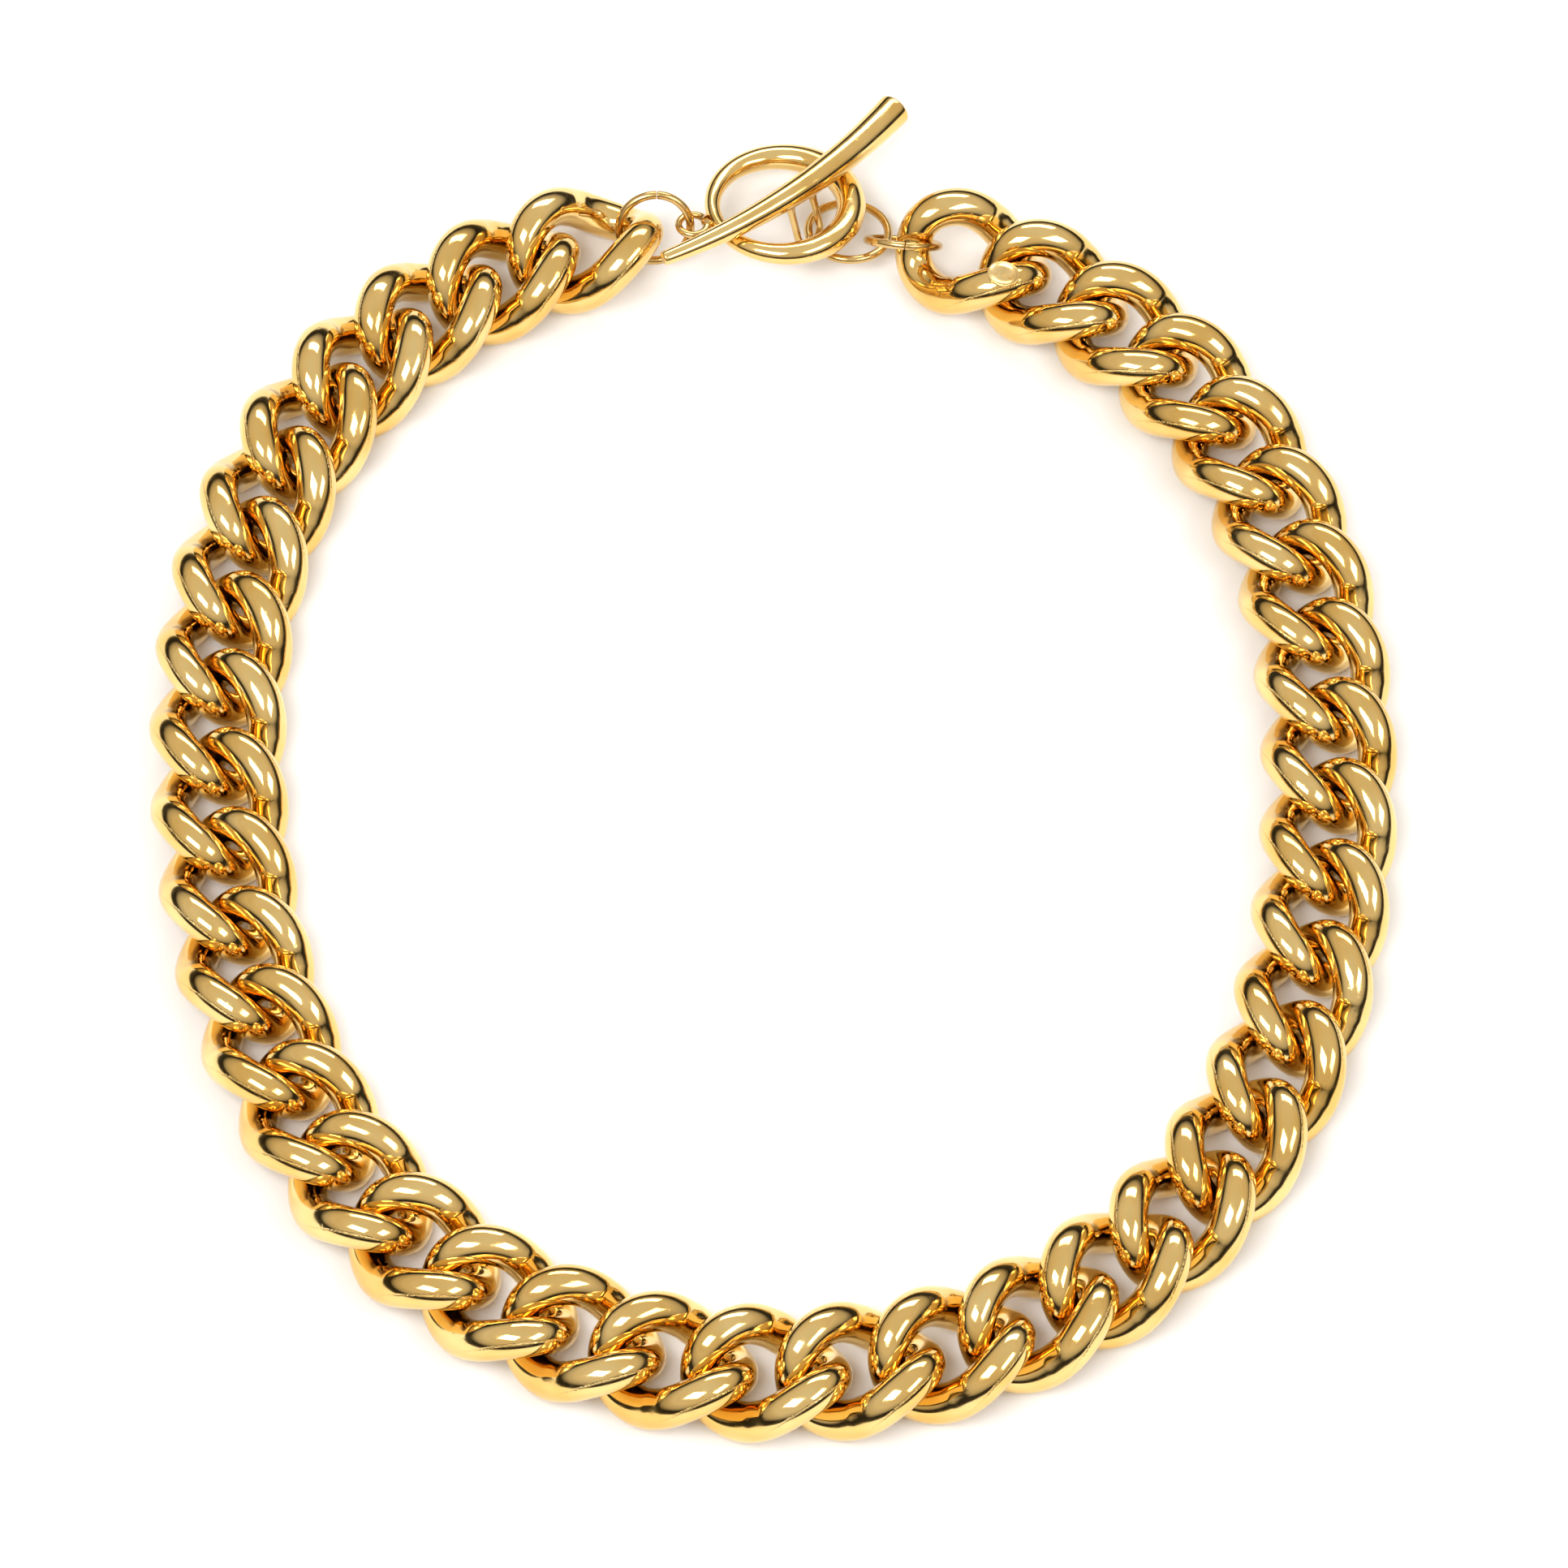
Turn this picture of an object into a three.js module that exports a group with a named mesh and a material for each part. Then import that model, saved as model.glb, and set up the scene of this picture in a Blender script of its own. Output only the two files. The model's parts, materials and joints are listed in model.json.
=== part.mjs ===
// A chunky curb-link necklace with a toggle clasp, lying closed on a flat surface.
// Millimetres, +Z up. The clasp is at +Y and the wearer's left side is at -X.
import * as THREE from 'three';

// ---- driving dimensions -----------------------------------------------------------------

const linkCount = 39;
const tubeEnd = 4.4;            // tube diameter where one link hooks into the next
const tubeSide = 4.8;           // tube diameter at the middle of a link's sides
const linkSpare = 1.8;          // free length left between the two neighbours inside a link
const linkClearance = 0.25;     // between two tubes that bear on each other
const linkTwist = 50;           // degrees that each end of a link is turned out of its plane
const linkSquareness = 2.3;     // 2 is an ellipse, more is a rounded rectangle
const twistSpread = 0.7;        // below 1 the twist is gathered at the middle of the sides
const twistEase = 0.02;         // how softly it passes through nothing there

const loopOval = 0.081;         // how much longer the loop lies than it is wide
const loopLean = 3;             // degrees that the oval leans
const loopTaper = 0.011;        // how much the clasp end is narrower than the front
const loopSquare = 0.011;       // how much its corners are drawn in

// The three jump rings. Each lies with its axis tipped so many degrees from upright, towards
// a heading counted from the necklace's line.
const jumpRadius = 4.4;         // middle of the wire, the two that hold the end links
const barJumpRadius = 4.95;     // the one on the bar's bail
const jumpWire = 1.05;
const ringClearance = 0.25;     // between clasp pieces that bear on each other
const leftJump = { slack: 0.2, aside: -0.64, lift: 1.46, heading: -83, tip: 56.5 };
const barJump = { reach: 4.49, aside: 1.03, lift: 1.11, heading: 81, tip: 14 };
const chainJump = { reach: 6.74, aside: -0.41, lift: -0.61, heading: 86, tip: 53.5 };

const ringRadius = 8.55;        // toggle ring, middle of the tube
const ringThin = 1.8;           // tube diameter beside its bail
const ringThick = 3.6;          // tube diameter opposite its bail
const ringTaper = 0.7;          // below 1 it thickens early on the way round
const ringTilt = 13.7;          // degrees that its near side is raised
const ringLift = 0.78;          // height of its centre over the middles of the links
const ringTurn = 20;            // degrees that its bail is turned towards the wearer
const ringBailAside = -0.2;     // how far its bail lies from the necklace's line

const barLength = 37.3;
const barBow = 2.4;             // how far its middle stands off the chord
const barTip = 1.7;             // diameter of the thin end
const barEnd = 4.3;             // diameter of the thick end
const barTaper = 0.8;           // below 1 it thickens early on the way along
const barTurn = 41.6;           // degrees between its chord and the necklace's line
const barOffset = 0.6;          // how far the middle of its chord passes from the ring's centre
const barBailPlace = 1.0;       // where its bail is, from the middle of the chord
const barBailLean = 15;         // degrees that the bail leans towards the wearer

const bailWire = 0.9;
const bailRadius = 1.75;        // middle of the wire of both bails
const ringBailFoot = 25;        // degrees short of a full circle at each foot of the ring's bail
const ringBailStandOff = 2.1;   // from its centre to the toggle ring's tube
const barBailLeg = 4.4;         // straight part of the bar's bail
const solderGap = 0.3;          // left open where a soldered piece meets the next

const plateLength = 4.0;
const plateWidth = 3.2;
const plateThickness = 0.5;
const platePlace = 0.36;        // along the link's tube, 0.5 is the end that faces the chain
const plateLean = 10;           // degrees that it faces the wearer

// How finely each sweep is cut: its steps, and the sides of its round section.
const linkFacets = [20, 8];
const ringFacets = [28, 8];
const barFacets = [14, 10];
const jumpFacets = [24, 6];
const bailFacets = [16, 6];
const plateFacets = 10;
const crossingPasses = 40;      // halvings, until the crossing no longer moves
const layPasses = 8;            // corrections, until the clasp just spans its gap

// ---- worked-out dimensions ----------------------------------------------------------------

const rad = THREE.MathUtils.degToRad;
const linkInside = 2 * tubeEnd + 2 * linkClearance + linkSpare;
const linkLength = linkInside + 2 * tubeEnd;
const halfLength = (linkLength - tubeEnd) / 2;
const pitch = linkLength - 2 * tubeEnd - linkClearance;
// The neighbour's tube passes through the opening leaning at the twist angle.
const linkOpening = tubeEnd / Math.cos(rad(linkTwist));
const halfWidth = (linkOpening + tubeSide) / 2;

const signedPower = (value, power) => Math.sign(value) * Math.abs(value) ** power;

// ---- sweeping a round section -------------------------------------------------------------

// A closed solid whose section is a circle of radius(t) round the curve's points, for t from
// 0 to 1. up(t) is any vector across the curve that turns smoothly along it. A loop joins
// its last section to its first; a rod has flat ends.
function sweep(curve, radius, up, steps, sides, loop) {
  const sections = loop ? steps : steps + 1;
  const positions = [];
  const faces = [];
  for (let i = 0; i < sections; i += 1) {
    const t = i / steps;
    const centre = curve.getPoint(t);
    const along = curve.getTangent(t);
    const across = new THREE.Vector3().crossVectors(up(t), along).normalize();
    const over = new THREE.Vector3().crossVectors(along, across);
    for (let j = 0; j < sides; j += 1) {
      const angle = (2 * Math.PI * (j + 0.5)) / sides;
      const point = centre.clone();
      point.addScaledVector(across, radius(t) * Math.cos(angle));
      point.addScaledVector(over, radius(t) * Math.sin(angle));
      positions.push(point.x, point.y, point.z);
    }
  }
  for (let i = 0; i < steps; i += 1) {
    const here = i * sides;
    const next = ((i + 1) % sections) * sides;
    for (let j = 0; j < sides; j += 1) {
      const k = (j + 1) % sides;
      faces.push(here + j, here + k, next + k, here + j, next + k, next + j);
    }
  }
  if (!loop) {
    const last = steps * sides;
    for (let j = 1; j < sides - 1; j += 1) {
      faces.push(0, j + 1, j);
      faces.push(last, last + j, last + j + 1);
    }
  }
  const geometry = new THREE.BufferGeometry();
  geometry.setAttribute('position', new THREE.Float32BufferAttribute(positions, 3));
  geometry.setIndex(faces);
  return geometry;
}

// A curve given by a function of t.
class FormulaCurve extends THREE.Curve {
  constructor(formula) {
    super();
    this.formula = formula;
  }

  getPoint(t) {
    return this.formula(t);
  }
}

// A circle, or the arc of one, in its own XY plane, starting from +X.
function arcCurve(radius, from = 0, to = 2 * Math.PI) {
  return new FormulaCurve((t) => {
    const angle = from + (to - from) * t;
    return new THREE.Vector3(radius * Math.cos(angle), radius * Math.sin(angle), 0);
  });
}

const upZ = () => new THREE.Vector3(0, 0, 1);

// ---- one curb link ------------------------------------------------------------------------

// A link lies along X with the loop's inner side at +Y. It is a rounded oval whose two ends
// are turned opposite ways about X, so that it lies flat while its neighbours pass through.
function twistAt(t) {
  const end = Math.cos(2 * Math.PI * t);
  return -rad(linkTwist) * end * (end ** 2 + twistEase) ** ((twistSpread - 1) / 2);
}

const linkCurve = new FormulaCurve((t) => {
  const angle = 2 * Math.PI * t;
  const x = halfLength * signedPower(Math.cos(angle), 2 / linkSquareness);
  const y = halfWidth * signedPower(Math.sin(angle), 2 / linkSquareness);
  const twist = twistAt(t);
  return new THREE.Vector3(x, y * Math.cos(twist), y * Math.sin(twist));
});

function linkRadius(t) {
  const side = Math.sin(2 * Math.PI * t) ** 2;
  return (tubeEnd + (tubeSide - tubeEnd) * side) / 2;
}

const linkUp = (t) => new THREE.Vector3(0, -Math.sin(twistAt(t)), Math.cos(twistAt(t)));

const linkGeometry = sweep(linkCurve, linkRadius, linkUp, ...linkFacets, true);
linkGeometry.computeBoundingBox();
const linkHeight = -linkGeometry.boundingBox.min.z;

// The middle of the tube at a link's end, +1 for the one towards the next link.
const endOfLink = (link, end) => new THREE.Vector3(end * halfLength, 0, 0).applyMatrix4(link.matrix);

// ---- how the chain lies -------------------------------------------------------------------

// The oval that the chain's middle line follows, for a mean radius of 1. It starts at the
// clasp and runs down the left side.
const unitLay = new FormulaCurve((t) => {
  const angle = Math.PI / 2 + 2 * Math.PI * t;
  const oval = loopOval * Math.cos(2 * (angle - rad(loopLean)));
  const radius = 1 - oval + loopTaper * Math.sin(3 * angle) - loopSquare * Math.cos(4 * angle);
  return new THREE.Vector3(radius * Math.cos(angle), radius * Math.sin(angle), 0);
});
unitLay.arcLengthDivisions = 2000;

const gold = { color: 0xe2ae3c, metalness: 1 };
const polishedGold = new THREE.MeshStandardMaterial({ ...gold, roughness: 0.12 });
const wireGold = new THREE.MeshStandardMaterial({ ...gold, roughness: 0.2 });
const plateGold = new THREE.MeshStandardMaterial({ ...gold, roughness: 0.35 });

function named(name, geometry, material) {
  const mesh = new THREE.Mesh(geometry, material);
  mesh.name = name;
  return mesh;
}

// ---- jump rings -----------------------------------------------------------------------------

// A jump ring laid with its middle at the given place.
function jumpRing(name, radius, lay, x, y, z) {
  const wire = sweep(arcCurve(radius), () => jumpWire / 2, upZ, ...jumpFacets, true);
  const ring = named(name, wire, wireGold);
  const axis = new THREE.Vector3().setFromSphericalCoords(1, rad(lay.tip), 0);
  axis.set(axis.z, 0, axis.y).applyAxisAngle(upZ(), rad(lay.heading));
  ring.position.set(x, y, z);
  ring.quaternion.setFromUnitVectors(upZ(), axis);
  return ring;
}

// The clasp's own frame: X runs along the necklace's line from the left end link's tube, and
// z = 0 is the height of the links' middles.
const clasp = new THREE.Group();

// Full stretch puts a jump ring's inner edge against the link's tube.
const jumpInside = jumpRadius - jumpWire / 2;
const jumpReach = jumpInside - tubeEnd / 2 - ringClearance;
const leftJumpX = jumpReach - leftJump.slack;
clasp.add(jumpRing('left_jump_ring', jumpRadius, leftJump, leftJumpX, leftJump.aside, leftJump.lift));

// ---- toggle ring and its bail ------------------------------------------------------------------

function ringTubeRadius(angle) {
  const share = ((1 + Math.cos(angle)) / 2) ** ringTaper;
  return (ringThin + (ringThick - ringThin) * share) / 2;
}

// The bail hangs on the left jump ring, and the toggle ring's centre follows from it.
const ringBailX = leftJumpX + jumpInside - bailWire / 2 - 2 * ringClearance + bailRadius;
const ringReach = ringBailStandOff + ringThin / 2 + ringRadius;
const toggle = new THREE.Group();
toggle.position.x = ringBailX + ringReach * Math.cos(rad(ringTurn));
toggle.position.y = ringBailAside + ringReach * Math.sin(rad(ringTurn)) * Math.cos(rad(ringTilt));
toggle.position.z = ringLift;
toggle.rotation.x = -rad(ringTilt);
clasp.add(toggle);

const turned = new THREE.Group();
turned.rotation.z = rad(ringTurn);
toggle.add(turned);
const ringTube = (t) => ringTubeRadius(2 * Math.PI * t);
const ringGeometry = sweep(arcCurve(ringRadius), ringTube, upZ, ...ringFacets, true);
turned.add(named('toggle_ring', ringGeometry, polishedGold));

// A bail is a wire bent round a circle from one foot to the other, with its feet towards +X.
// The foot angle is where the bend stops; each leg runs straight on from there.
function bailGeometry(foot, leg) {
  const bend = bailRadius * (2 * Math.PI - 2 * foot);
  const length = bend + 2 * leg;
  const curve = new FormulaCurve((t) => {
    const along = THREE.MathUtils.clamp(t * length - leg, 0, bend);
    const angle = foot + along / bailRadius;
    const point = new THREE.Vector3(Math.cos(angle), Math.sin(angle), 0).multiplyScalar(bailRadius);
    const straight = new THREE.Vector3(-Math.sin(angle), Math.cos(angle), 0);
    return point.addScaledVector(straight, t * length - leg - along);
  });
  return sweep(curve, () => bailWire / 2, upZ, ...bailFacets, false);
}

const ringBail = named('toggle_ring_bail', bailGeometry(rad(ringBailFoot), 0), wireGold);
ringBail.position.x = -ringReach;
turned.add(ringBail);

// ---- toggle bar and its bail --------------------------------------------------------------------

function barRadius(t) {
  return (barTip + (barEnd - barTip) * t ** barTaper) / 2;
}

// The bar's middle line seen along the toggle ring's axis: a shallow bow whose chord crosses
// the ring at barTurn.
function barPoint(t) {
  const x = barLength * (t - 0.5);
  const y = barOffset - barBow * (1 - (2 * t - 1) ** 2);
  return new THREE.Vector3(x, y, 0).applyAxisAngle(upZ(), rad(barTurn));
}

// Where the bar passes over the ring's tube, between two places on the bar, one inside the
// ring and one outside.
function barCrossing(inside, outside) {
  let [near, far] = [inside, outside];
  for (let pass = 0; pass < crossingPasses; pass += 1) {
    const middle = (near + far) / 2;
    if (barPoint(middle).length() < ringRadius) near = middle;
    else far = middle;
  }
  return near;
}

// How high the bar's middle line rides there, with its tube clear of the ring's.
function rideHeight(t) {
  const point = barPoint(t);
  const angle = Math.atan2(point.y, point.x) - rad(ringTurn);
  return ringTubeRadius(angle) + barRadius(t) + ringClearance;
}

const thinCrossing = barCrossing(0.5, 0);
const thickCrossing = barCrossing(0.5, 1);
const barCurve = new FormulaCurve((t) => {
  const share = (t - thinCrossing) / (thickCrossing - thinCrossing);
  const height = THREE.MathUtils.lerp(rideHeight(thinCrossing), rideHeight(thickCrossing), share);
  return barPoint(t).setZ(height);
});
toggle.add(named('toggle_bar', sweep(barCurve, barRadius, upZ, ...barFacets, false), polishedGold));

// The bar's bail hangs under it in one plane with the bar, and leans over towards the wearer.
const bailAt = barBailPlace / barLength + 0.5;
const barDirection = barCurve.getTangent(bailAt);
const barSide = new THREE.Vector3().crossVectors(barDirection, upZ()).normalize();
const hang = new THREE.Vector3().crossVectors(barDirection, barSide);
hang.applyAxisAngle(barDirection, -rad(barBailLean));
const barBail = named('toggle_bar_bail', bailGeometry(Math.PI / 2, barBailLeg), wireGold);
barBail.position.copy(barCurve.getPoint(bailAt));
barBail.position.addScaledVector(hang, barRadius(bailAt) + solderGap + barBailLeg);
const bailAcross = new THREE.Vector3().crossVectors(hang, barDirection);
barBail.quaternion.setFromRotationMatrix(
  new THREE.Matrix4().makeBasis(hang.clone().negate(), barDirection.clone().negate(), bailAcross),
);
toggle.add(barBail);

// ---- the two jump rings between the bar and the chain -----------------------------------------

toggle.updateMatrix();
const bailEnd = barBail.position.clone().addScaledVector(hang, bailRadius).applyMatrix4(toggle.matrix);
const barJumpX = bailEnd.x + barJump.reach;
clasp.add(jumpRing('bar_jump_ring', barJumpRadius, barJump, barJumpX, bailEnd.y + barJump.aside,
  bailEnd.z + barJump.lift));
const chainJumpX = barJumpX + chainJump.reach;
clasp.add(jumpRing('chain_jump_ring', jumpRadius, chainJump, chainJumpX, chainJump.aside,
  chainJump.lift));

// ---- laying the chain ---------------------------------------------------------------------------

// All the links, with their hinges one pitch apart along the lay curve and the given length
// of curve left open for the clasp.
function layLinks(openLength) {
  const total = linkCount * pitch + openLength;
  const scale = total / unitLay.getLength();
  const hinge = (k) => unitLay.getPointAt((openLength / 2 + k * pitch) / total).multiplyScalar(scale);
  const links = [];
  for (let k = 0; k < linkCount; k += 1) {
    const from = hinge(k);
    const to = hinge(k + 1);
    const link = named(`link_${String(k + 1).padStart(2, '0')}`, linkGeometry, polishedGold);
    link.position.addVectors(from, to).multiplyScalar(0.5).setZ(linkHeight);
    link.rotation.z = Math.atan2(to.y - from.y, to.x - from.x);
    link.updateMatrix();
    links.push(link);
  }
  return links;
}

// The open length is adjusted until the clasp just spans the two end links.
const claspSpan = chainJumpX + jumpReach;

function layToSpan() {
  let openLength = claspSpan;
  let links = layLinks(openLength);
  for (let pass = 0; pass < layPasses; pass += 1) {
    const span = endOfLink(links[0], -1).distanceTo(endOfLink(links[linkCount - 1], 1));
    openLength += claspSpan - span;
    links = layLinks(openLength);
  }
  return links;
}

const links = layToSpan();
const necklace = new THREE.Group();
necklace.add(...links);

const leftEnd = endOfLink(links[0], -1);
const rightEnd = endOfLink(links[linkCount - 1], 1);
clasp.position.copy(leftEnd);
clasp.rotation.z = Math.atan2(rightEnd.y - leftEnd.y, rightEnd.x - leftEnd.x);
necklace.add(clasp);

// ---- maker's plate ------------------------------------------------------------------------------

// A small oval plate on the last link, on the upper side of the end that faces the chain.
const plateShape = new THREE.Shape();
plateShape.absellipse(0, 0, plateLength / 2, plateWidth / 2, 0, 2 * Math.PI);
const plateGeometry = new THREE.ExtrudeGeometry(plateShape, {
  depth: plateThickness,
  bevelEnabled: false,
  curveSegments: plateFacets,
});
const plate = named('maker_plate', plateGeometry, plateGold);
const plateFacing = new THREE.Vector3(0, Math.sin(rad(plateLean)), Math.cos(rad(plateLean)));
plate.position.copy(linkCurve.getPoint(platePlace));
plate.position.addScaledVector(plateFacing, linkRadius(platePlace) + solderGap);
plate.quaternion.setFromUnitVectors(upZ(), plateFacing);
const plateSeat = new THREE.Group();
plateSeat.position.copy(links[linkCount - 1].position);
plateSeat.rotation.copy(links[linkCount - 1].rotation);
plateSeat.add(plate);
necklace.add(plateSeat);

// ---- the origin: the middle of the whole box, on the surface it lies on ------------------------

const box = new THREE.Box3().setFromObject(necklace, true);
const middle = box.getCenter(new THREE.Vector3());
necklace.position.set(-middle.x, -middle.y, -box.min.z);

export default necklace;
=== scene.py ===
# The looks of a chunky curb-link necklace with a toggle clasp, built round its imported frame.
# Metres, +Z up. Every piece gets its place from the frame's joints and node boxes.
import json
import math

import bpy
from mathutils import Matrix, Quaternion, Vector

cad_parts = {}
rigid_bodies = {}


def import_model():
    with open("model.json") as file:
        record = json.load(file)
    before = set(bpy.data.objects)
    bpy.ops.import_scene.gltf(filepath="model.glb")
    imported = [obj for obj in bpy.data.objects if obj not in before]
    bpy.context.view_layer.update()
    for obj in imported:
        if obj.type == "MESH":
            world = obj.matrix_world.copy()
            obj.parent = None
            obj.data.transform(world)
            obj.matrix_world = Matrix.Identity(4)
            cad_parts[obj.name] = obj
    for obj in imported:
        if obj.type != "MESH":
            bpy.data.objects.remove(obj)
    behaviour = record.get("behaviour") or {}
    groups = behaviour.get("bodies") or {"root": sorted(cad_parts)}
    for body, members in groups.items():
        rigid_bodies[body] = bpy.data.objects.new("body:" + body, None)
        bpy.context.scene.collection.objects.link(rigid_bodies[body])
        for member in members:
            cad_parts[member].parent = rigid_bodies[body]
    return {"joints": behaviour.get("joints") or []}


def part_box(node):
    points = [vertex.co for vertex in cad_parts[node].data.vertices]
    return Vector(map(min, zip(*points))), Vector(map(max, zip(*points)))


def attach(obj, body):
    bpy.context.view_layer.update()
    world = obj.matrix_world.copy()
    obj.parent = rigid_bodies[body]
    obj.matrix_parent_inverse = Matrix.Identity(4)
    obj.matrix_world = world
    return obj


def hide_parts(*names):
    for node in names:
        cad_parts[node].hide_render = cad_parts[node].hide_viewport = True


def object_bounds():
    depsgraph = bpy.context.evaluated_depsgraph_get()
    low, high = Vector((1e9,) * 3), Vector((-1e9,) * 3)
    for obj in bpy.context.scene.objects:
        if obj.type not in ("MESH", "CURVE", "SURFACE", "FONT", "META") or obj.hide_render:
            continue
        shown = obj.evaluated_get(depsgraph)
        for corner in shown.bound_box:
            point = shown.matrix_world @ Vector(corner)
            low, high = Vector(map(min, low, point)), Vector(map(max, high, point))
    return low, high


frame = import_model()
cad_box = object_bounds()
MM = 0.001
UP = Vector((0, 0, 1))

# ---- sizes, as the frame has them ---------------------------------------------------------

LINK_COUNT = 39
TUBE_END = 4.4 * MM             # tube diameter at a link's ends
TUBE_SIDE = 4.8 * MM            # and at the middle of its sides
HALF_LENGTH = 7.75 * MM         # of a link's middle line
LINK_TWIST = math.radians(50)
HALF_WIDTH = (TUBE_END / math.cos(LINK_TWIST) + TUBE_SIDE) / 2
LINK_SQUARENESS = 2.3
TWIST_SPREAD = 0.7
TWIST_EASE = 0.02

JUMP_RADIUS = 4.4 * MM
BAR_JUMP_RADIUS = 4.95 * MM
JUMP_WIRE = 1.05 * MM
JUMP_CUT = 0.10 * MM            # width of the cut in a jump ring

RING_RADIUS = 8.55 * MM
RING_THIN = 1.8 * MM
RING_THICK = 3.6 * MM
RING_TAPER = 0.7
RING_TURN = math.radians(20)
BAIL_STAND_OFF = 2.1 * MM
RING_REACH = BAIL_STAND_OFF + RING_THIN / 2 + RING_RADIUS

BAR_LENGTH = 37.3 * MM
BAR_BOW = 2.4 * MM
BAR_TIP = 1.7 * MM
BAR_END = 4.3 * MM
BAR_TAPER = 0.8
BAR_TURN = math.radians(41.6)
BAR_OFFSET = 0.6 * MM
BAR_CLEARANCE = 0.25 * MM
BAR_BAIL_PLACE = 1.0 * MM
BAR_BAIL_LEAN = math.radians(15)
BAR_BAIL_LEG = 4.4 * MM

BAIL_WIRE = 0.9 * MM
BAIL_RADIUS = 1.75 * MM
RING_BAIL_FOOT = math.radians(25)
SOLDER_GAP = 0.3 * MM

PLATE_LENGTH = 4.0 * MM
PLATE_WIDTH = 3.2 * MM
PLATE_THICKNESS = 0.5 * MM
PLATE_PLACE = 0.36
PLATE_LEAN = math.radians(10)

ROUNDING_STEPS = 5              # sections along the rounding of a rod's end
LENGTH_STEPS = 50               # chords that a rod's length is measured with
CROSSING_PASSES = 40            # halvings, until the bar's crossing no longer moves
PLATE_SIDES = 48


# ---- mesh helpers ---------------------------------------------------------------------------

def signed_power(value, power):
    return math.copysign(abs(value) ** power, value)


def mesh_object(name, points, faces, uvs, material):
    mesh = bpy.data.meshes.new(name)
    mesh.from_pydata(points, [], faces)
    mesh.update()
    layer = mesh.uv_layers.new(name="along")
    for loop in mesh.loops:
        layer.data[loop.index].uv = uvs[loop.vertex_index]
    mesh.shade_smooth()
    mesh.materials.append(material)
    made = bpy.data.objects.new(name, mesh)
    bpy.context.scene.collection.objects.link(made)
    return made


def section(centre, along, up, radius, sides):
    """The points of one round section."""
    across = up.cross(along).normalized()
    over = along.cross(across)
    ring = []
    for j in range(sides):
        angle = 2 * math.pi * j / sides
        ring.append(centre + radius * (math.cos(angle) * across + math.sin(angle) * over))
    return ring


def tangent(curve, t, loop):
    step = 1e-4
    before = curve((t - step) % 1 if loop else max(t - step, 0))
    after = curve((t + step) % 1 if loop else min(t + step, 1))
    return (after - before).normalized()


def skin(rows, loop):
    """The faces that join each row of points to the next."""
    sides = len(rows[0])
    faces = []
    for i in range(len(rows) if loop else len(rows) - 1):
        here = i * sides
        there = (i + 1) % len(rows) * sides
        for j in range(sides):
            k = (j + 1) % sides
            faces.append((here + j, here + k, there + k, there + j))
    return faces


def loop_tube(name, curve, radius, up, steps, sides, material):
    """A closed ring of tube. curve, radius and up are functions of t from 0 to 1."""
    rows = []
    uvs = []
    for i in range(steps):
        t = i / steps
        rows.append(section(curve(t), tangent(curve, t, True), up(t), radius(t), sides))
        uvs += [(t, j / sides) for j in range(sides)]
    points = [p for row in rows for p in row]
    return mesh_object(name, points, skin(rows, True), uvs, material)


def rod(name, curve, radius, up, steps, sides, material, ease):
    """A rod with softly rounded ends. ease is the radius of that rounding."""
    knots = [curve(i / LENGTH_STEPS) for i in range(LENGTH_STEPS + 1)]
    length = sum((after - before).length for before, after in zip(knots, knots[1:]))
    stations = []
    for i in range(ROUNDING_STEPS + 1):
        turn = math.pi / 2 * i / ROUNDING_STEPS
        stations.append((ease * (1 - math.sin(turn)) / length, ease * (1 - math.cos(turn))))
    stations.reverse()
    edge = ease / length
    inner = [(edge + (1 - 2 * edge) * i / steps, 0) for i in range(1, steps)]
    whole = stations + inner + [(1 - t, drop) for t, drop in reversed(stations)]
    rows = []
    uvs = []
    for t, drop in whole:
        row_radius = max(radius(t) - drop, radius(t) * 0.1)
        rows.append(section(curve(t), tangent(curve, t, False), up(t), row_radius, sides))
        uvs += [(t, j / sides) for j in range(sides)]
    points = [p for row in rows for p in row]
    faces = skin(rows, False)
    last = (len(rows) - 1) * sides
    faces.append(tuple(reversed(range(sides))))
    faces.append(tuple(range(last, last + sides)))
    return mesh_object(name, points, faces, uvs, material)


def place(piece, matrix):
    piece.data.transform(matrix)
    piece.data.update()
    return piece


def finish_piece(piece, body, slot, *nodes):
    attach(piece, body)
    if nodes:
        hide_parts(*nodes)
    return piece


def basis(x, y, z, origin):
    """The matrix that takes local axes to these and the local origin to that point."""
    rows = Matrix((x, y, z)).transposed().to_4x4()
    rows.translation = origin
    return rows


def joint(name):
    return next(j for j in frame["joints"] if j["name"] == name)


def joint_place(name):
    return Vector(joint(name)["pos_m"])


def joint_axis(name):
    return Vector(joint(name)["axis"]).normalized()


# ---- gold -------------------------------------------------------------------------------------

def node(tree, kind, **values):
    made = tree.nodes.new(kind)
    for key, value in values.items():
        setattr(made, key, value)
    return made


def noise(tree, coordinates, scale, detail):
    made = node(tree, "ShaderNodeTexNoise")
    made.inputs["Scale"].default_value = scale
    made.inputs["Detail"].default_value = detail
    tree.links.new(coordinates, made.inputs["Vector"])
    return made.outputs["Fac"]


def spread(tree, value, low, high, to_low, to_high):
    """value from low..high spread over to_low..to_high."""
    made = node(tree, "ShaderNodeMapRange")
    made.inputs["From Min"].default_value = low
    made.inputs["From Max"].default_value = high
    made.inputs["To Min"].default_value = to_low
    made.inputs["To Max"].default_value = to_high
    tree.links.new(value, made.inputs["Value"])
    return made.outputs["Result"]


def maths(tree, operation, first, second):
    made = node(tree, "ShaderNodeMath", operation=operation)
    for socket, value in zip(made.inputs, (first, second)):
        if isinstance(value, (int, float)):
            socket.default_value = value
        else:
            tree.links.new(value, socket)
    return made.outputs["Value"]


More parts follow.
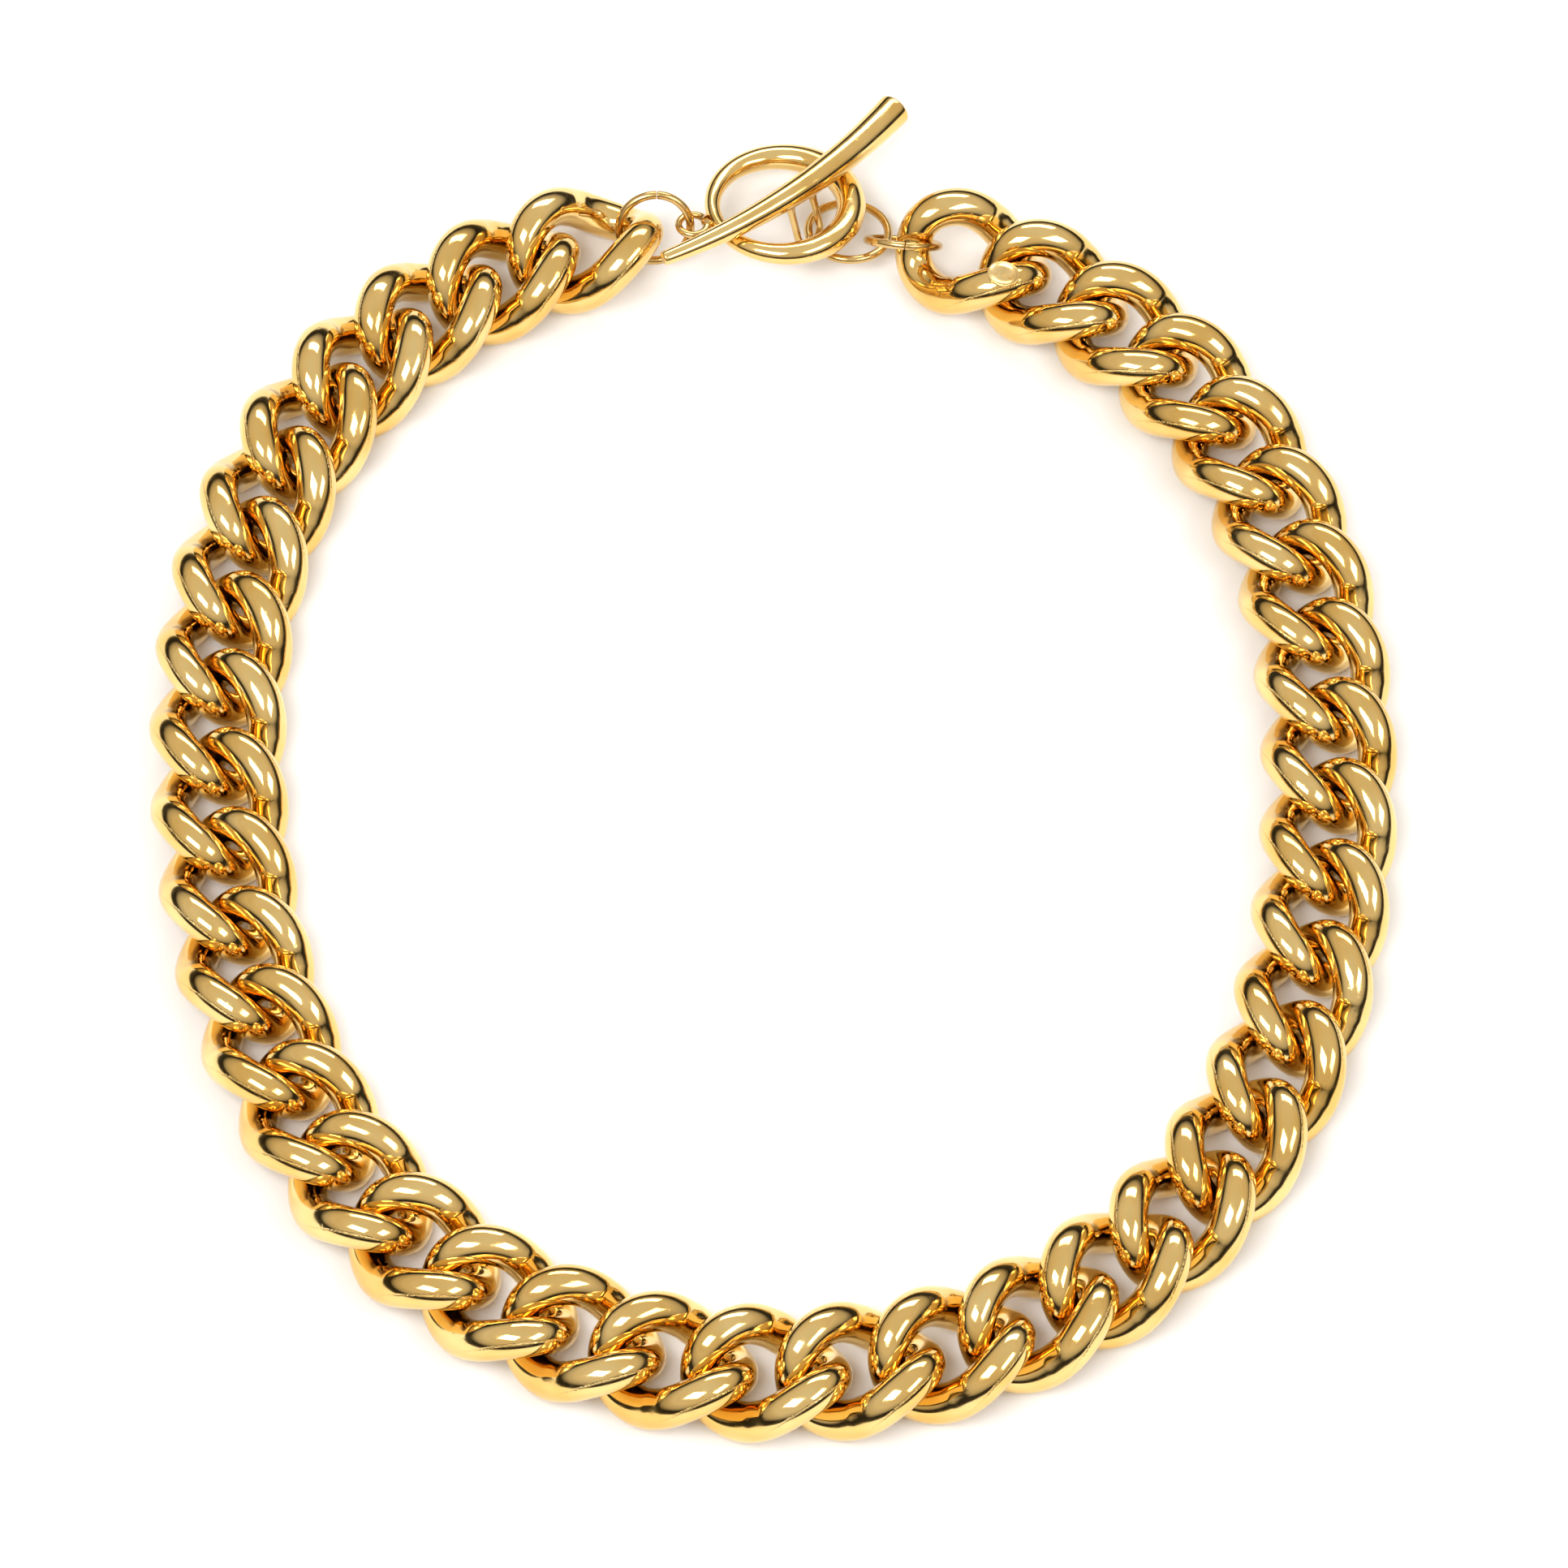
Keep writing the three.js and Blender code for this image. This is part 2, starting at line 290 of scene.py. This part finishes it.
def bump(tree, height, distance, strength, normal=None):
    made = node(tree, "ShaderNodeBump")
    made.inputs["Distance"].default_value = distance
    made.inputs["Strength"].default_value = strength
    tree.links.new(height, made.inputs["Height"])
    if normal is not None:
        tree.links.new(normal, made.inputs["Normal"])
    return made.outputs["Normal"]


def gold(name, pale, deep, smooth, rough, dents, seam):
    """Polished gold. pale and deep are its two tints, smooth and rough its range of roughness,
    dents the depth of its hand-worked waviness, and seam where round the section its join
    runs, or None."""
    material = bpy.data.materials.new(name)
    material.use_nodes = True
    tree = material.node_tree
    shader = tree.nodes["Principled BSDF"]
    shader.inputs["Metallic"].default_value = 1.0
    here = node(tree, "ShaderNodeTexCoord")
    place_in_piece = here.outputs["Object"]
    broad = noise(tree, place_in_piece, 130, 2)
    wear = noise(tree, place_in_piece, 900, 4)
    grain = noise(tree, place_in_piece, 5200, 3)
    tint = node(tree, "ShaderNodeValToRGB")
    tint.color_ramp.elements[0].position = 0.34
    tint.color_ramp.elements[0].color = (*deep, 1)
    tint.color_ramp.elements[1].position = 0.66
    tint.color_ramp.elements[1].color = (*pale, 1)
    tree.links.new(broad, tint.inputs["Fac"])
    tree.links.new(tint.outputs["Color"], shader.inputs["Base Color"])
    worn = spread(tree, wear, 0.35, 0.72, smooth, rough)
    tree.links.new(worn, shader.inputs["Roughness"])
    pits = spread(tree, wear, 0.66, 0.74, 0.0, 1.0)
    normal = bump(tree, noise(tree, place_in_piece, 210, 1), dents, 0.6)
    normal = bump(tree, grain, 0.004 * MM, 0.25, normal)
    normal = bump(tree, pits, -0.02 * MM, 0.35, normal)
    if seam is not None:
        split = node(tree, "ShaderNodeSeparateXYZ")
        tree.links.new(here.outputs["UV"], split.inputs["Vector"])
        away = maths(tree, "ABSOLUTE", maths(tree, "SUBTRACT", split.outputs["Y"], seam), 0.0)
        line = spread(tree, away, 0.004, 0.011, 1.0, 0.0)
        broken = maths(tree, "MULTIPLY", line, spread(tree, grain, 0.42, 0.56, 0.0, 1.0))
        normal = bump(tree, broken, -0.03 * MM, 0.7, normal)
    tree.links.new(normal, shader.inputs["Normal"])
    return material


PALE_GOLD = (0.91, 0.66, 0.27)
DEEP_GOLD = (0.82, 0.52, 0.15)
LINK_GOLD = gold("polished_gold", PALE_GOLD, DEEP_GOLD, 0.05, 0.16, 0.10 * MM, 0.45)
CLASP_GOLD = gold("clasp_gold", PALE_GOLD, DEEP_GOLD, 0.06, 0.18, 0.06 * MM, None)
WIRE_GOLD = gold("wire_gold", (0.78, 0.55, 0.24), (0.60, 0.37, 0.12), 0.14, 0.28, 0.03 * MM, None)
PLATE_GOLD = gold("plate_gold", (0.92, 0.70, 0.34), (0.80, 0.54, 0.20), 0.20, 0.36, 0.02 * MM, None)


# ---- the links --------------------------------------------------------------------------------

def twist_at(t):
    end = math.cos(2 * math.pi * t)
    return -LINK_TWIST * end * (end ** 2 + TWIST_EASE) ** ((TWIST_SPREAD - 1) / 2)


def link_point(t):
    angle = 2 * math.pi * t
    x = HALF_LENGTH * signed_power(math.cos(angle), 2 / LINK_SQUARENESS)
    y = HALF_WIDTH * signed_power(math.sin(angle), 2 / LINK_SQUARENESS)
    turn = twist_at(t)
    return Vector((x, y * math.cos(turn), y * math.sin(turn)))


def link_radius(t):
    return (TUBE_END + (TUBE_SIDE - TUBE_END) * math.sin(2 * math.pi * t) ** 2) / 2


def link_up(t):
    return Vector((0, -math.sin(twist_at(t)), math.cos(twist_at(t))))


def link_name(number):
    return f"link_{number:02d}"


def link_centre(number):
    low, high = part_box(link_name(number))
    return (low + high) / 2


def hinge_between(number):
    """Where a link hangs on the next one."""
    pair = {link_name(number), link_name(number + 1)}
    found = next(j for j in frame["joints"] if {j["parent"], j["child"]} == pair)
    return Vector(found["pos_m"])


def link_matrix(number):
    centre = link_centre(number)
    start = hinge_between(number - 1) if number > 1 else centre
    end = hinge_between(number) if number < LINK_COUNT else centre
    along = (end - start).normalized()
    return basis(along, UP.cross(along), UP, centre)


def make_link(number):
    piece = loop_tube(f"{link_name(number)}_tube", link_point, link_radius, link_up, 112, 28, LINK_GOLD)
    place(piece, link_matrix(number))
    return finish_piece(piece, link_name(number), "polished_gold", link_name(number))


# ---- jump rings ---------------------------------------------------------------------------------

def turned_to(axis, centre):
    return Matrix.Translation(centre) @ UP.rotation_difference(axis).to_matrix().to_4x4()


def make_jump_ring(name, radius, cut_at):
    """A ring of wire with its cut at that angle round it."""
    half_cut = JUMP_CUT / radius / 2

    def curve(t):
        angle = cut_at + half_cut + (2 * math.pi - 2 * half_cut) * t
        return Vector((radius * math.cos(angle), radius * math.sin(angle), 0))

    piece = rod(f"{name}_wire", curve, lambda t: JUMP_WIRE / 2, lambda t: UP, 96, 16, WIRE_GOLD, 0.09 * MM)
    turn = f"{name}_turn"
    place(piece, turned_to(joint_axis(turn), joint_place(turn)))
    return finish_piece(piece, name, "gold_wire", name)


# ---- toggle ring and bar --------------------------------------------------------------------------

CLASP_LINE = joint_axis("toggle_ring_roll")
RING_NORMAL = joint_axis("toggle_bar_swivel")
RING_SIDE = RING_NORMAL.cross(CLASP_LINE)
RING_BAIL_PLACE = joint_place("toggle_ring_roll")
TO_RING = math.cos(RING_TURN) * CLASP_LINE + math.sin(RING_TURN) * RING_SIDE
RING_CENTRE = RING_BAIL_PLACE + RING_REACH * TO_RING
TOGGLE = basis(CLASP_LINE, RING_SIDE, RING_NORMAL, RING_CENTRE)
TURNED = TOGGLE @ Matrix.Rotation(RING_TURN, 4, "Z")


def ring_tube_radius(angle):
    share = ((1 + math.cos(angle)) / 2) ** RING_TAPER
    return (RING_THIN + (RING_THICK - RING_THIN) * share) / 2


def make_toggle_ring():
    def curve(t):
        angle = 2 * math.pi * t
        return Vector((RING_RADIUS * math.cos(angle), RING_RADIUS * math.sin(angle), 0))

    def radius(t):
        return ring_tube_radius(2 * math.pi * t)

    piece = loop_tube("toggle_ring_tube", curve, radius, lambda t: UP, 144, 32, CLASP_GOLD)
    place(piece, TURNED)
    return finish_piece(piece, "toggle_ring", "polished_gold", "toggle_ring")


def bail_curve(foot, leg):
    """The bend of a bail with a straight leg at each end, its feet towards +X."""
    bend = BAIL_RADIUS * (2 * math.pi - 2 * foot)
    length = bend + 2 * leg

    def curve(t):
        along = min(max(t * length - leg, 0), bend)
        angle = foot + along / BAIL_RADIUS
        point = BAIL_RADIUS * Vector((math.cos(angle), math.sin(angle), 0))
        return point + (t * length - leg - along) * Vector((-math.sin(angle), math.cos(angle), 0))

    return curve


def soldered(t):
    """The wire of a bail, thicker where solder runs up its feet."""
    from_foot = min(t, 1 - t)
    return BAIL_WIRE / 2 * (1 + 0.75 * math.exp(-from_foot / 0.035))


def make_ring_bail():
    curve = bail_curve(RING_BAIL_FOOT, 0.45 * MM)
    piece = rod("toggle_ring_bail_wire", curve, soldered, lambda t: UP, 72, 16, WIRE_GOLD, 0.05 * MM)
    place(piece, TURNED @ Matrix.Translation((-RING_REACH, 0, 0)))
    return finish_piece(piece, "toggle_ring", "gold_wire", "toggle_ring_bail")


def bar_radius(t):
    return (BAR_TIP + (BAR_END - BAR_TIP) * t ** BAR_TAPER) / 2


def bar_plan(t):
    """The bar's middle line seen along the toggle ring's axis."""
    x = BAR_LENGTH * (t - 0.5)
    y = BAR_OFFSET - BAR_BOW * (1 - (2 * t - 1) ** 2)
    return Matrix.Rotation(BAR_TURN, 3, "Z") @ Vector((x, y, 0))


def bar_crossing(inside, outside):
    for _ in range(CROSSING_PASSES):
        middle = (inside + outside) / 2
        if bar_plan(middle).length < RING_RADIUS:
            inside = middle
        else:
            outside = middle
    return inside


def ride_height(t):
    point = bar_plan(t)
    angle = math.atan2(point.y, point.x) - RING_TURN
    return ring_tube_radius(angle) + bar_radius(t) + BAR_CLEARANCE


THIN_CROSSING = bar_crossing(0.5, 0)
THICK_CROSSING = bar_crossing(0.5, 1)
THIN_HEIGHT = ride_height(THIN_CROSSING)
THICK_HEIGHT = ride_height(THICK_CROSSING)


def bar_point(t):
    share = (t - THIN_CROSSING) / (THICK_CROSSING - THIN_CROSSING)
    point = bar_plan(t)
    point.z = THIN_HEIGHT + (THICK_HEIGHT - THIN_HEIGHT) * share
    return point


def make_bar():
    piece = rod("toggle_bar_horn", bar_point, bar_radius, lambda t: UP, 90, 32, CLASP_GOLD, 0.28 * MM)
    place(piece, TOGGLE)
    return finish_piece(piece, "toggle_bar", "polished_gold", "toggle_bar")


def make_bar_bail():
    at = BAR_BAIL_PLACE / BAR_LENGTH + 0.5
    direction = tangent(bar_point, at, False)
    side = direction.cross(UP).normalized()
    hang = Quaternion(direction, -BAR_BAIL_LEAN) @ direction.cross(side)
    drop = bar_radius(at) + SOLDER_GAP + BAR_BAIL_LEG
    seat = basis(-hang, -direction, hang.cross(direction), bar_point(at) + drop * hang)
    curve = bail_curve(math.pi / 2, BAR_BAIL_LEG + SOLDER_GAP + 0.35 * MM)
    piece = rod("toggle_bar_bail_wire", curve, soldered, lambda t: UP, 80, 16, WIRE_GOLD, 0.05 * MM)
    place(piece, TOGGLE @ seat)
    return finish_piece(piece, "toggle_bar", "gold_wire", "toggle_bar_bail")


# ---- maker's plate -----------------------------------------------------------------------------------

def oval_row(size, height):
    row = []
    for j in range(PLATE_SIDES):
        angle = 2 * math.pi * j / PLATE_SIDES
        x = size * PLATE_LENGTH / 2 * math.cos(angle)
        y = size * PLATE_WIDTH / 2 * math.sin(angle)
        row.append(Vector((x, y, height)))
    return row


def make_plate():
    """An oval plate with a raised rim, and a solder bead under it that runs onto the link."""
    under = [(0.42, -2.2 * SOLDER_GAP), (0.62, -0.6 * SOLDER_GAP), (0.94, 0)]
    over = [(1.0, 0.12), (1.0, 0.86), (0.97, 1.0), (0.90, 1.0), (0.86, 0.80), (0.45, 0.78), (0.08, 0.78)]
    profile = under + [(size, share * PLATE_THICKNESS) for size, share in over]
    rows = [oval_row(size, height) for size, height in profile]
    faces = skin(rows, False)
    last = (len(rows) - 1) * PLATE_SIDES
    faces.append(tuple(reversed(range(PLATE_SIDES))))
    faces.append(tuple(range(last, last + PLATE_SIDES)))
    uvs = [(i / len(rows), j / PLATE_SIDES) for i in range(len(rows)) for j in range(PLATE_SIDES)]
    return mesh_object("maker_plate_oval", [p for row in rows for p in row], faces, uvs, PLATE_GOLD)


def make_marks():
    """Plain raised marks on the plate: a lozenge between two small bars."""
    floor = 0.76 * PLATE_THICKNESS
    top = 0.98 * PLATE_THICKNESS
    half_x = 0.30 * MM
    half_y = 0.42 * MM
    outlines = [[(-half_x, 0), (0, -half_y), (half_x, 0), (0, half_y)]]
    for x in (-0.93 * MM, 0.93 * MM):
        low = x - 0.21 * MM
        high = x + 0.21 * MM
        bar = 0.36 * MM
        outlines.append([(low, -bar), (high, -bar), (high, bar), (low, bar)])
    points = []
    faces = []
    for outline in outlines:
        start = len(points)
        points += [(x, y, floor) for x, y in outline]
        points += [(x * 0.98, y * 0.9, top) for x, y in outline]
        for j in range(4):
            k = (j + 1) % 4
            faces.append((start + j, start + k, start + 4 + k, start + 4 + j))
        faces.append(tuple(start + 3 - j for j in range(4)))
        faces.append(tuple(start + 4 + j for j in range(4)))
    marks = mesh_object("maker_plate_marks", points, faces, [(0, 0)] * len(points), PLATE_GOLD)
    marks.data.shade_flat()
    return marks


def make_maker_plate():
    facing = Vector((0, math.sin(PLATE_LEAN), math.cos(PLATE_LEAN)))
    seat = UP.rotation_difference(facing).to_matrix().to_4x4()
    seat.translation = link_point(PLATE_PLACE) + (link_radius(PLATE_PLACE) + SOLDER_GAP) * facing
    matrix = link_matrix(LINK_COUNT) @ seat
    plate = place(make_plate(), matrix)
    marks = place(make_marks(), matrix)
    finish_piece(plate, link_name(LINK_COUNT), "gold_plate", "maker_plate")
    finish_piece(marks, link_name(LINK_COUNT), "gold_plate")


# ---- floor, light and camera ------------------------------------------------------------------------

def make_floor():
    material = bpy.data.materials.new("pale_floor")
    material.use_nodes = True
    tree = material.node_tree
    shader = tree.nodes["Principled BSDF"]
    shader.inputs["Roughness"].default_value = 0.9
    shader.inputs["Base Color"].default_value = (0.97, 0.985, 1.0, 1)
    half = 3.0
    corners = [(-half, -half, 0), (half, -half, 0), (half, half, 0), (-half, half, 0)]
    floor = mesh_object("floor", corners, [(0, 1, 2, 3)], [(0, 0)] * 4, material)
    floor.location.z = cad_box[0][2] - 0.05 * MM


def soft_box(name, azimuth, elevation, distance, width, height, power):
    """A rectangular light that faces the necklace from that direction, 0 being the front."""
    turn = math.radians(azimuth)
    lift = math.radians(elevation)
    away = Vector((math.sin(turn) * math.cos(lift), -math.cos(turn) * math.cos(lift), math.sin(lift)))
    light = bpy.data.lights.new(name, "AREA")
    light.shape = "RECTANGLE"
    light.size = width
    light.size_y = height
    light.energy = power
    lamp = bpy.data.objects.new(name, light)
    lamp.location = away * distance
    lamp.rotation_euler = away.to_track_quat("Z", "Y").to_euler()
    bpy.context.scene.collection.objects.link(lamp)


def make_world():
    """A white studio with a dark band low down, which the camera sees as plain white."""
    world = bpy.data.worlds.new("studio")
    world.use_nodes = True
    bpy.context.scene.world = world
    tree = world.node_tree
    studio = tree.nodes["Background"]
    here = node(tree, "ShaderNodeTexCoord")
    split = node(tree, "ShaderNodeSeparateXYZ")
    tree.links.new(here.outputs["Generated"], split.inputs["Vector"])
    walls = node(tree, "ShaderNodeValToRGB")
    ramp = walls.color_ramp
    ramp.elements[0].position = 0.0
    ramp.elements[0].color = (0.5, 0.5, 0.5, 1)
    ramp.elements[1].position = 1.0
    ramp.elements[1].color = (0.75, 0.75, 0.75, 1)
    for position, level in ((0.06, 0.05), (0.24, 0.02), (0.38, 0.5), (0.6, 0.75), (0.7, 0.72), (0.8, 0.78)):
        ramp.elements.new(position).color = (level, 0.93 * level, 0.85 * level, 1)
    tree.links.new(split.outputs["Z"], walls.inputs["Fac"])
    tree.links.new(walls.outputs["Color"], studio.inputs["Color"])
    studio.inputs["Strength"].default_value = 1.0
    plain = node(tree, "ShaderNodeBackground")
    plain.inputs["Color"].default_value = (1, 1, 1, 1)
    path = node(tree, "ShaderNodeLightPath")
    mix = node(tree, "ShaderNodeMixShader")
    tree.links.new(path.outputs["Is Camera Ray"], mix.inputs["Fac"])
    tree.links.new(studio.outputs["Background"], mix.inputs[1])
    tree.links.new(plain.outputs["Background"], mix.inputs[2])
    tree.links.new(mix.outputs["Shader"], tree.nodes["World Output"].inputs["Surface"])


def make_camera():
    """Looks down at the necklace from the wearer's side, with a long lens."""
    azimuth = math.radians(-1.3)
    elevation = math.radians(61.5)
    distance = 1.061
    aim = Vector((1.3 * MM, -5.1 * MM, 5.0 * MM))
    roll = math.radians(2.1)
    away = Vector((math.sin(azimuth) * math.cos(elevation), -math.cos(azimuth) * math.cos(elevation),
                   math.sin(elevation)))
    data = bpy.data.cameras.new("camera")
    data.sensor_width = 36
    data.lens = 205
    camera = bpy.data.objects.new("camera", data)
    look = away.to_track_quat("Z", "Y") @ Quaternion((0, 0, 1), roll)
    camera.location = aim + distance * away
    camera.rotation_euler = look.to_euler()
    bpy.context.scene.collection.objects.link(camera)
    bpy.context.scene.camera = camera


for link_number in range(1, LINK_COUNT + 1):
    make_link(link_number)
make_jump_ring("left_jump_ring", JUMP_RADIUS, math.radians(90))
make_jump_ring("bar_jump_ring", BAR_JUMP_RADIUS, math.radians(200))
make_jump_ring("chain_jump_ring", JUMP_RADIUS, math.radians(270))
make_toggle_ring()
make_ring_bail()
make_bar()
make_bar_bail()
make_maker_plate()

make_floor()
make_world()
soft_box("key", -35, 62, 0.9, 0.5, 0.3, 4.4)
soft_box("fill", 60, 48, 1.1, 0.6, 0.3, 2.8)
soft_box("back", 170, 40, 1.0, 0.8, 0.25, 3.0)
make_camera()
bpy.context.scene.view_settings.view_transform = "Standard"
